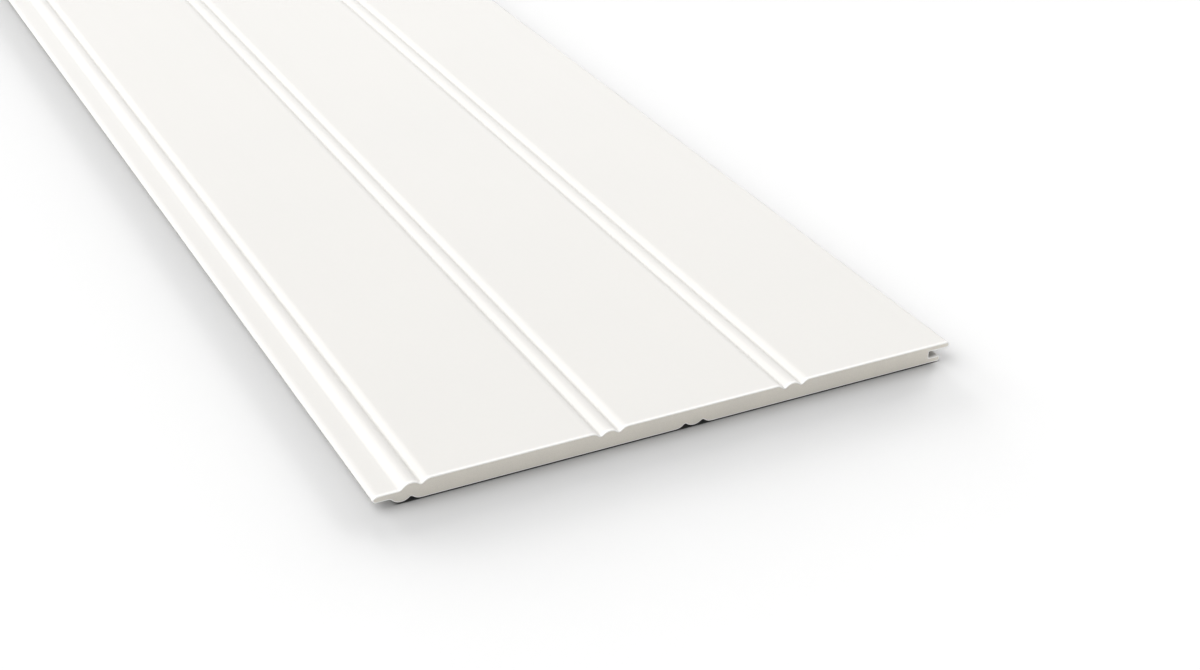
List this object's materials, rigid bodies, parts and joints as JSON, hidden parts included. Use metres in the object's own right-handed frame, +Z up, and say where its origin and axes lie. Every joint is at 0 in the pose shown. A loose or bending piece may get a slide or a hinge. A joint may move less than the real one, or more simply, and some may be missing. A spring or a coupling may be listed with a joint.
{
  "type": "beadboard wall panel",
  "caption": "Long thin tongue-and-groove plank with rounded beads between flat fields on both sides, for panelling walls and ceilings.",
  "frame": {"origin": "middle of the plank's footprint, at the level of its back; it lies face up", "axes": "+X across the plank from the tongue to the groove, +Y along it, +Z up out of the face"},
  "size_m": [0.21, 2.4384, 0.0063],
  "materials": {
    "pvc_white": "satin"
  },
  "bodies": {
    "root": {"beadboard_panel": "pvc_white"}
  },
  "joints": []
}
